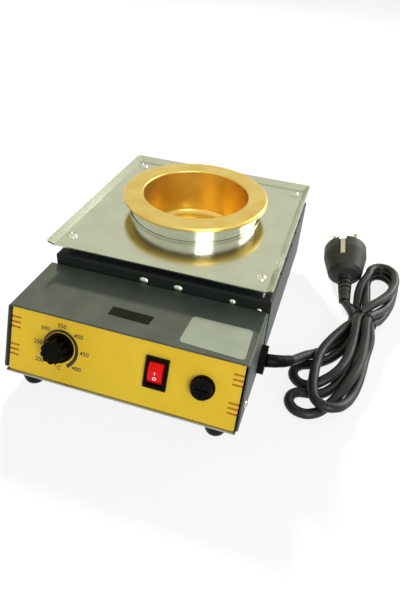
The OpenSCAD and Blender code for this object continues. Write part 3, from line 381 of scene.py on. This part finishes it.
KNOB_AT = (-42.0, 24.9)
DIAL_NUMBERS = {"200": (-55.9, 13.0), "250": (-57.9, 25.0), "300": (-53.6, 35.3), "350": (-42.2, 39.4),
                "400": (-30.1, 35.2), "450": (-25.0, 24.5), "480": (-29.3, 13.1), "°C": (-42.4, 10.7)}
DIAL_START, DIAL_END = 225, -63   # degrees, from the cold end to the hot end
DIAL_R = 12.1
DIAL_THIN = 0.5                   # width of the band at the cold end
DIAL_GROWTH = 2.0                 # what it gains in width, and in radius, by the hot end
FIGURE_H = 2.8
FILM = (0.02, 0.08)               # lower and upper face of the printed band


def dial_outer(f):
    """Outer radius of the band, at this share of the way to its hot end."""
    return DIAL_R + DIAL_GROWTH * f ** 4


def dial_inner(f):
    """Inner radius of the band, at this share of the way to its hot end."""
    return dial_outer(f) - DIAL_THIN - DIAL_GROWTH * f ** 0.6


def dial(ink):
    """The scale around the knob: a band that widens towards the hot end, and its numbers."""
    wide = band(KNOB_AT, dial_inner, dial_outer, DIAL_START, DIAL_END, *FILM)
    piece("dial_band", wide, ink, place=PANEL)
    for text, (x, s) in DIAL_NUMBERS.items():
        name = "dial_" + ("unit" if text == "°C" else text)
        piece(name, numeral(text, x, s, FIGURE_H), ink, place=PANEL)


SWITCH_AT = (24.0, 25.4)
ROCKER_TILT = radians(12)
ROCKER_FACE = 3.9          # height of the rocker's face over its axis
MARK_TOP = ROCKER_FACE + 0.06   # upper face of the printed marks
BAR_HALF_W, BAR_LOW, BAR_HIGH = 0.28, 0.9, 2.9
RING_AT, RING_IN, RING_OUT = (0, -1.9), 0.75, 1.25


def switch_marks(ink):
    """The bar and the ring on the rocker's flat face."""
    axis = PANEL @ Matrix.Translation(Vector((*SWITCH_AT, 0)) * MM)
    place = axis @ Matrix.Rotation(ROCKER_TILT, 4, "X")
    corners = [(-BAR_HALF_W, BAR_LOW), (BAR_HALF_W, BAR_LOW), (BAR_HALF_W, BAR_HIGH), (-BAR_HALF_W, BAR_HIGH)]
    piece("switch_bar", slab(corners, ROCKER_FACE, MARK_TOP), ink, "rocker", place)
    ring = band(RING_AT, lambda f: RING_IN, lambda f: RING_OUT, 0, 360, ROCKER_FACE, MARK_TOP, 32)
    piece("switch_ring", ring, ink, "rocker", place)


LABEL_CORNERS = [(33.7, 21.9), (75.6, 19.9), (74.6, 48.1), (34.6, 48.2)]
SIGN_CORNERS = [(-17.0, 30.2), (11.0, 29.4), (11.8, 38.0), (-16.9, 38.6)]
LABEL_R, LABEL_TOP, LABEL_EDGE = 3, 0.12, 0.04
SIGN_R, SIGN_TOP, SIGN_EDGE = 0.4, 0.14, 0.05
PLATE_LIFT = 0.01   # height of a plate's underside over the cover


def cover_plates(paper, foil):
    """The two bare plates on the cover: a pale label and a small black sign."""
    label = slab(rounded(LABEL_CORNERS, LABEL_R), PLATE_LIFT, LABEL_TOP, LABEL_EDGE)
    piece("bare_label", label, paper, place=COVER)
    sign = slab(rounded(SIGN_CORNERS, SIGN_R), PLATE_LIFT, SIGN_TOP, SIGN_EDGE)
    piece("bare_sign", sign, foil, place=COVER)


# --- cord -----------------------------------------------------------------------------------

CORD_D = 7.0
CORD_EXIT = (84.5, 58, 25)
LOW, MID, HIGH = 3.72, 10.4, 17.4   # height of the cord's middle in the three layers of the hank

LEAD = [CORD_EXIT, (90, 59.6, 24.7), (95.5, 63.6, 22.8), (100.5, 70.5, 19), (105, 79.5, 14.8),
        (109.8, 89.5, MID), (116.5, 100.5, 5.4), (126.5, 113, LOW), (135.5, 127.5, 4)]
REAR_1 = [(142.4, 158, 4.2), (140.8, 171, 7.6), (140.6, 186, 14.2), (145.5, 202, HIGH),
          (149.6, 215.9, HIGH), (157.5, 220.2, HIGH), (165.4, 215.9, HIGH), (168.3, 205, HIGH),
          (166, 187, HIGH), (158.5, 170, 17.8), (149.3, 156, 17.8)]
FRONT_B = [(141, 126, 14.4), (139.8, 106, 12.2), (137, 91, 11.2), (132, 79, 10.6), (125.5, 70.8, 9),
           (118.5, 66.8, 5.6), (111.5, 66.6, 3.7), (105, 71, LOW), (103.6, 78.2, LOW),
           (107.2, 84.6, LOW), (114, 88.4, LOW), (122, 94.5, LOW), (130.8, 105.5, 3.8),
           (139.9, 122.5, 7)]
REAR_2 = [(148.5, 158, 10.3), (147.6, 172, 10), (146.6, 188, MID), (146.2, 204, MID),
          (149.4, 217.6, MID), (157.7, 223.4, MID), (166, 218.6, MID), (169.2, 206, MID),
          (168, 190, MID), (164, 172, 10.8), (157.2, 156, 14)]
FRONT_C = [(149, 118, 13), (147.5, 95, 10.7), (142.5, 76, 9.4), (136, 61.5, 6), (129.5, 50.5, 3.7),
           (122.8, 42.8, LOW), (114.4, 40.2, LOW), (107, 44.2, LOW), (105.2, 51.8, LOW),
           (109, 57.3, LOW), (115.6, 59.2, LOW), (122.4, 60.5, LOW), (129.2, 66.2, LOW),
           (135.5, 78, LOW), (140, 94, LOW), (145, 115, LOW)]
REAR_3 = [(150.5, 158, 3.8), (149, 172, LOW), (147.2, 190, LOW), (147, 207, LOW), (150.2, 221, LOW),
          (158.4, 226.8, LOW), (166.8, 222, LOW), (170, 210, LOW), (169.3, 194, LOW),
          (165.5, 175, LOW), (159.5, 157, 5.5)]
FRONT_A = [(153.8, 126, 7.2), (152, 110, 3.8), (150.5, 94, LOW), (148.4, 79, LOW), (145.2, 66, 4.2),
           (141.2, 55.5, 6.6), (135.4, 47.6, 9.2), (127.8, 44.9, 10.8), (121.2, 48.6, 11.4),
           (118.4, 57, 12.4), (117.6, 68, 13), (117.8, 81, 12), (119.7, 97, 11.2), (125, 113, 11.2),
           (132.5, 129.5, 10.9)]
TAIL = [(137, 155, 9.6), (133.9, 163.6, 8.2), (130.4, 171.1, 7.05)]
# The seven strands under the tie, in the order in which the cord passes
TIED = [(142.6, 143.8, 4.3), (142.6, 143.8, 16.5), (146, 143, 10.4), (149.4, 142.2, 16.5),
        (149.4, 142.2, 4.3), (152.8, 141.3, 10.4), (139.2, 144.7, 10.4)]
RUNS = [LEAD, REAR_1, FRONT_B, REAR_2, FRONT_C, REAR_3, FRONT_A, TAIL]


def cord_route():
    """Every point of the cord's middle, from the exit to the plug, in the frame."""
    route = list(RUNS[0])
    for strand, run in zip(TIED, RUNS[1:]):
        route.append(strand)
        route.extend(run)
    return [at(*p) for p in route]


def cord(surface):
    """The mains cord on one smooth curve, in the place of its CAD nodes."""
    curve = bpy.data.curves.new("mains_cord", "CURVE")
    curve.dimensions = "3D"
    curve.bevel_depth = CORD_D / 2 * MM
    curve.bevel_resolution = 5
    curve.resolution_u = 6
    curve.use_fill_caps = True
    route = cord_route()
    spline = curve.splines.new("BEZIER")
    spline.bezier_points.add(len(route) - 1)
    for point, where in zip(spline.bezier_points, route):
        point.co = where
        point.handle_left_type = "AUTO"
        point.handle_right_type = "AUTO"
    made = linked("mains_cord", curve)
    curve.materials.append(surface)
    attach(made, "body")
    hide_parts("power_cord", "cord_hank")


def tube(points, radii, sides=20):
    """A swept round skin through points, closed at both ends."""
    form = bmesh.new()
    rings = []
    turns = [2 * pi * k / sides for k in range(sides)]
    for i, p in enumerate(points):
        run = (points[min(i + 1, len(points) - 1)] - points[max(i - 1, 0)]).normalized()
        side = run.cross(Vector((0, 0, 1))).normalized()
        up = side.cross(run)
        rings.append([form.verts.new(p + radii[i] * (cos(t) * side + sin(t) * up)) for t in turns])
    for a, b in zip(rings, rings[1:]):
        for k in range(sides):
            n = (k + 1) % sides
            form.faces.new([a[k], a[n], b[n], b[k]])
    form.faces.new(rings[0])
    form.faces.new(rings[-1])
    return closed_mesh(form, "tube", smooth=True)


SLEEVE_L = 22.0
SLEEVE_STEPS = 6      # rings between two points of the lead
SLEEVE_WALL = 0.25    # at its thin end
SLEEVE_TAPER = 0.95   # what the wall gains towards the bushing


def cord_sleeve(surface):
    """The tapered rubber sleeve that guards the cord where it leaves the bushing."""
    route = [Vector(p) for p in LEAD[:5]]
    points, radii, walked = [], [], 0.0
    for a, b in zip(route, route[1:]):
        step = (b - a).length
        for k in range(SLEEVE_STEPS):
            along = walked + step * k / SLEEVE_STEPS
            if along > SLEEVE_L:
                continue
            points.append(at(*a.lerp(b, k / SLEEVE_STEPS)))
            radii.append((CORD_D / 2 + SLEEVE_WALL + SLEEVE_TAPER * (1 - along / SLEEVE_L)) * MM)
        walked += step
    piece("cord_sleeve", tube(points, radii), surface)


TIE_GAP = 0.4         # from the strands to the middle of the wire
TIE_AT = Vector((146, 143, 0))
TIE_ACROSS = Vector((0.97, -0.24, 0))
TIE_STEPS = 96
WIRE_R = 0.35
TWIST_FROM = Vector((143.5, 143.6, 20.9))
TWIST_ALONG = Vector((-0.62, 0.35, 0.05))
TWIST_L = 15
TWIST_R = 0.42
TWIST_STEPS = 24
TWIST_TURN = 5 * pi   # two and a half turns


def tie_loop():
    """The points of a loop drawn tightly round the tied strands, across the hank."""
    spots = [((Vector(s) - TIE_AT).dot(TIE_ACROSS), s[2]) for s in TIED]
    reach = CORD_D / 2 + TIE_GAP
    loop = []
    for k in range(TIE_STEPS):
        t = 2 * pi * k / TIE_STEPS
        u, v = cos(t), sin(t)
        far = max(spots, key=lambda s: s[0] * u + s[1] * v)
        loop.append(TIE_AT + TIE_ACROSS * (far[0] + reach * u) + Vector((0, 0, far[1] + reach * v)))
    return loop


def twisted_end(phase):
    """The points of one of the two wire ends, wound round each other."""
    side = TWIST_ALONG.cross(Vector((0, 0, 1))).normalized()
    up = side.cross(TWIST_ALONG).normalized()
    points = []
    for k in range(TWIST_STEPS + 1):
        f = k / TWIST_STEPS
        t = phase + TWIST_TURN * f
        points.append(TWIST_FROM + TWIST_ALONG * TWIST_L * f + TWIST_R * (cos(t) * side + sin(t) * up))
    return points


def twist_tie(surface):
    """A wire tie round the hank with its two ends twisted together on top."""
    curve = bpy.data.curves.new("twist_tie", "CURVE")
    curve.dimensions = "3D"
    curve.bevel_depth = WIRE_R * MM
    curve.bevel_resolution = 3
    for points, closed in ((tie_loop(), True), (twisted_end(0), False), (twisted_end(pi), False)):
        spline = curve.splines.new("POLY")
        spline.points.add(len(points) - 1)
        for point, where in zip(spline.points, points):
            point.co = (*at(*where), 1)
        spline.use_cyclic_u = closed
    made = piece("twist_tie", baked(linked("twist_tie_maker", curve)), surface)
    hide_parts("cord_tie")
    return made


# --- feet -----------------------------------------------------------------------------------

FOOT_SIDES = 40
# Radius and height, round the section from the recess under the foot
FOOT_PROFILE = [(4.5, 0.02), (4.9, 0.0), (5.4, 0.15), (6.3, 1.0), (7.0, 2.6), (7.5, 5.2), (7.8, 8.5),
                (7.9, 11.9), (7.4, 12.0), (2.2, 12.0), (2.2, 4.0), (4.4, 4.0), (4.5, 3.8)]


def foot(name, surface):
    """A moulded rubber foot with a rounded lower edge, in the place of its CAD node."""
    low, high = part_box(name)
    middle = Vector(((low[0] + high[0]) / 2, (low[1] + high[1]) / 2, 0))
    form = bmesh.new()
    rings = []
    for k in range(FOOT_SIDES):
        t = 2 * pi * k / FOOT_SIDES
        section = [Vector((r * cos(t), r * sin(t), z)) * MM for r, z in FOOT_PROFILE]
        rings.append([form.verts.new(middle + point) for point in section])
    for k in range(FOOT_SIDES):
        a, b = rings[k], rings[(k + 1) % FOOT_SIDES]
        for i in range(len(FOOT_PROFILE)):
            j = (i + 1) % len(FOOT_PROFILE)
            form.faces.new([a[i], b[i], b[j], a[j]])
    made = piece("rubber_" + name, closed_mesh(form, name, smooth=True), surface)
    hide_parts(name)


# --- repeated detail ------------------------------------------------------------------------

PANEL_W = 155.2
VENT = {"Count": 3, "Pitch": 3.4 * MM, "Length": 6.5 * MM, "Height": 1.3 * MM, "Thickness": 0.3 * MM}
VENT_ROWS = {"upper": 34.6, "lower": 15.6}   # distance of a row's middle up the slope
VENT_FLOOR = -0.6                            # depth of the floors behind the panel's face


def row_tree(surface):
    """A geometry tree that sets small blocks in a row, for the floors of the pressed slots."""
    tree = bpy.data.node_groups.new("blocks_in_a_row", "GeometryNodeTree")
    for name, value in VENT.items():
        kind = "NodeSocketInt" if name == "Count" else "NodeSocketFloat"
        entry = tree.interface.new_socket(name=name, in_out="INPUT", socket_type=kind)
        entry.default_value = value
    tree.interface.new_socket(name="Geometry", in_out="OUTPUT", socket_type="NodeSocketGeometry")
    given = add(tree, "NodeGroupInput").outputs
    step = add(tree, "ShaderNodeCombineXYZ", {1: given["Pitch"]})
    line = add(tree, "GeometryNodeMeshLine", {"Count": given["Count"], "Offset": step.outputs[0]})
    size = add(tree, "ShaderNodeCombineXYZ", {0: given["Length"], 1: given["Height"], 2: given["Thickness"]})
    block = add(tree, "GeometryNodeMeshCube", {"Size": size.outputs[0]})
    spread = add(tree, "GeometryNodeInstanceOnPoints", {"Points": line.outputs["Mesh"],
                                                        "Instance": block.outputs["Mesh"]})
    real = add(tree, "GeometryNodeRealizeInstances", {"Geometry": spread.outputs["Instances"]})
    coat = add(tree, "GeometryNodeSetMaterial", {"Geometry": real.outputs["Geometry"], "Material": surface})
    out = add(tree, "NodeGroupOutput")
    tree.links.new(coat.outputs["Geometry"], out.inputs["Geometry"])
    return tree


def vent_floors(surface):
    """The floors of the slots at both edges of the panel, coloured deep amber as painted shade, baked from
    the geometry tree.
    """
    tree = row_tree(surface)
    for row, middle in VENT_ROWS.items():
        for side, sign in (("left", -1), ("right", 1)):
            holder = linked("row_maker", bpy.data.meshes.new("row_maker"))
            modifier = holder.modifiers.new("row", "NODES")
            modifier.node_group = tree
            for item in tree.interface.items_tree:
                if item.in_out == "INPUT":
                    modifier[item.identifier] = VENT[item.name]
            mesh = baked(holder)
            x = sign * (PANEL_W - VENT["Length"] / MM) / 2
            start = middle - VENT["Pitch"] / MM
            place = PANEL @ Matrix.Translation(Vector((x, start, VENT_FLOOR)) * MM)
            piece("vent_floors_" + row + "_" + side, mesh, surface, place=place)


# --- studio ---------------------------------------------------------------------------------

AIM = Vector((0, 0.02, 0.05))    # what every lamp points at, in metres
DAYLIGHT, WARM = "#ffffff", "#ffe8d6"
SHEET_HALF, SHEET_TOP, SHEET_LOW = 3000, -0.02, -2.0
SHARE_SEEN = 0.85                # how far the floor's white covers its shading, where it is seen
SKY = "#f2f4e6"
OPEN_SIDE = (0.6, 1.0, 0.0)      # the sky is brighter towards the right and the back


def light(name, where, size, power, colour=DAYLIGHT):
    """A soft rectangular lamp, in metres and watts."""
    lamp = bpy.data.lights.new(name, "AREA")
    lamp.shape = "RECTANGLE"
    lamp.size, lamp.size_y = size
    lamp.energy = power
    lamp.color = srgb(colour)[:3]
    made = linked(name, lamp)
    made.location = where
    made.rotation_euler = (AIM - Vector(where)).to_track_quat("-Z", "Y").to_euler()
    return made


def in_sight(tree):
    """One for rays from the camera, from a shiny surface or through glass, and else zero."""
    path = add(tree, "ShaderNodeLightPath").outputs
    shiny = add(tree, "ShaderNodeMath", {0: path["Is Camera Ray"], 1: path["Is Glossy Ray"]},
                operation="MAXIMUM")
    through = add(tree, "ShaderNodeMath", {0: shiny.outputs[0], 1: path["Is Transmission Ray"]},
                  operation="MAXIMUM")
    return through.outputs[0]


def floor_material():
    """Pale, and brightened where it is seen, so that it stays white and keeps a soft shadow."""
    # Matt paper: even and pale, without a highlight
    surface = material("pale_floor", ("#c4c4c4", "#cecece"), (0.8, 0.9), 4.0, ior=1.2)
    tree = surface.node_tree
    body = next(n for n in tree.nodes if n.type == "BSDF_PRINCIPLED")
    out = next(n for n in tree.nodes if n.type == "OUTPUT_MATERIAL")
    share = add(tree, "ShaderNodeMath", {0: in_sight(tree), 1: SHARE_SEEN}, operation="MULTIPLY")
    white = add(tree, "ShaderNodeEmission", {"Color": srgb("#ffffff"), "Strength": 1.0})
    both = add(tree, "ShaderNodeMixShader", {0: share.outputs[0], 1: body.outputs[0], 2: white.outputs[0]})
    tree.links.new(both.outputs[0], out.inputs["Surface"])
    return surface


def studio():
    """The floor, three lamps and a sky that is darker low down and towards the front left."""
    corners = [(SHEET_HALF * x, SHEET_HALF * y) for x, y in ((-1, -1), (1, -1), (1, 1), (-1, 1))]
    floor = linked("floor", slab(corners, SHEET_LOW, SHEET_TOP))
    floor.data.materials.append(floor_material())
    # A small, warm key from behind draws the tray's shadow on the cover, without a glare on the metal
    key = light("key", (-0.55, 1.0, 0.78), (0.12, 0.12), 62, WARM)
    key.visible_glossy = False
    light("side", (0.8, 0.75, 0.45), (0.9, 0.5), 9)
    light("front", (0.7, -0.95, 0.5), (0.5, 0.6), 10)
    sky = bpy.data.worlds.new("studio")
    sky.use_nodes = True
    tree = sky.node_tree
    tree.nodes.clear()
    where = add(tree, "ShaderNodeTexCoord").outputs["Generated"]
    height = add(tree, "ShaderNodeSeparateXYZ", {0: where}).outputs[2]
    dome = add(tree, "ShaderNodeMapRange", {"Value": height, "From Min": 0.0, "From Max": 0.5,
                                            "To Min": 0.04, "To Max": 1.0})
    behind = add(tree, "ShaderNodeVectorMath", {0: where, 1: OPEN_SIDE}, operation="DOT_PRODUCT")
    side = add(tree, "ShaderNodeMapRange", {"Value": behind.outputs["Value"], "From Min": -0.7,
                                            "From Max": 0.05, "To Min": 0.12, "To Max": 1.0})
    lit = add(tree, "ShaderNodeMath", {0: dome.outputs[0], 1: side.outputs[0]}, operation="MULTIPLY")
    strength = add(tree, "ShaderNodeMath", {0: lit.outputs[0], 1: in_sight(tree)}, operation="MAXIMUM")
    glow = add(tree, "ShaderNodeBackground", {"Color": srgb(SKY), "Strength": strength.outputs[0]})
    add(tree, "ShaderNodeOutputWorld", {"Surface": glow.outputs[0]})
    bpy.context.scene.world = sky
    bpy.context.scene.view_settings.view_transform = "Standard"


# --- the solder pot -------------------------------------------------------------------------

camera()
finishes = materials()
dress(finishes)
surfaces = {name: surface for name, (surface, nodes) in finishes.items()}
tie = twist_tie(surfaces["black_plastic"])
cord(surfaces["cord_rubber"])
cord_sleeve(surfaces["black_rubber"])
# Screen-printing ink: dull, solid black on the panel and white on the rocker
print_black = material("print_black", ("#14120c", "#201d14"), (0.5, 0.7), 0.3)
print_white = material("print_white", ("#e8e8e4", "#fafaf8"), (0.4, 0.6), 0.3)
dial(print_black)
switch_marks(print_white)
# Silvered label stock: pale grey with a matt metal sheen
label_stock = material("label_paper", ("#8c968a", "#98a296"), (0.5, 0.65), 0.6, 0.7, bump=0.004,
                       shader={"Specular IOR Level": 0.2})
# Black film: matt and nearly without shine
sign_film = material("sign_foil", ("#0c0d08", "#17180f"), (0.5, 0.65), 0.6, bump=0.004,
                     shader={"Specular IOR Level": 0.1})
cover_plates(label_stock, sign_film)
for foot_name in ("foot_front_left", "foot_front_right", "foot_rear_left", "foot_rear_right"):
    foot(foot_name, surfaces["black_rubber"])
# Yellow enamel darkened to a deep amber: painted shade on the floors set back in the slots
vent_floors(material("slot_floor_painted_shade", ("#a05e08", "#b46c10"), (0.6, 0.8), 0.6, bump=0.004))
studio()
